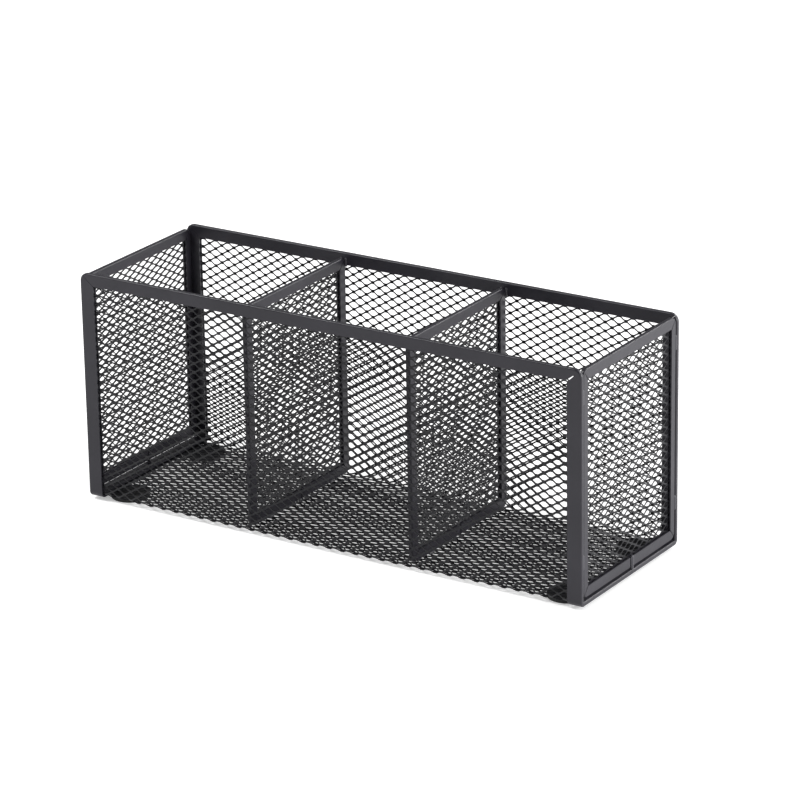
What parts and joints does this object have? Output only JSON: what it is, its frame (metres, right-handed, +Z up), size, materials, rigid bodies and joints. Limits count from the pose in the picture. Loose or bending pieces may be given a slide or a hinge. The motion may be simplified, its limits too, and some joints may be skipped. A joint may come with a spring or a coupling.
{
  "type": "desk organizer",
  "caption": "Rectangular open-topped desk organizer of black expanded-metal mesh, edged with folded steel strip and parted by cross dividers, on round foot pads.",
  "frame": {"origin": "on the desk surface, under the centre of the organizer", "axes": "+X along the length, -Y towards the front wall, +Z up"},
  "size_m": [0.23, 0.075, 0.0967],
  "materials": {
    "mesh": "black powder coat, satin",
    "edging": "black powder coat, satin",
    "welds": "black powder coat over weld metal",
    "foot_pads": "matte foam rubber",
    "adhesive": "black adhesive film"
  },
  "bodies": {
    "root": {"body_mesh": "mesh", "body_edge_strip": "edging", "left_end_mesh": "mesh", "left_end_frame": "edging", "left_end_welds": "welds", "left_divider_mesh": "mesh", "left_divider_frame": "edging", "left_divider_welds": "welds", "right_end_mesh": "mesh", "right_end_frame": "edging", "right_end_welds": "welds", "right_divider_mesh": "mesh", "right_divider_frame": "edging", "right_divider_welds": "welds", "front_left_foot_pad": "foot_pads", "front_left_adhesive_disc": "adhesive", "front_right_foot_pad": "foot_pads", "front_right_adhesive_disc": "adhesive", "back_left_foot_pad": "foot_pads", "back_left_adhesive_disc": "adhesive", "back_right_foot_pad": "foot_pads", "back_right_adhesive_disc": "adhesive"}
  },
  "joints": []
}
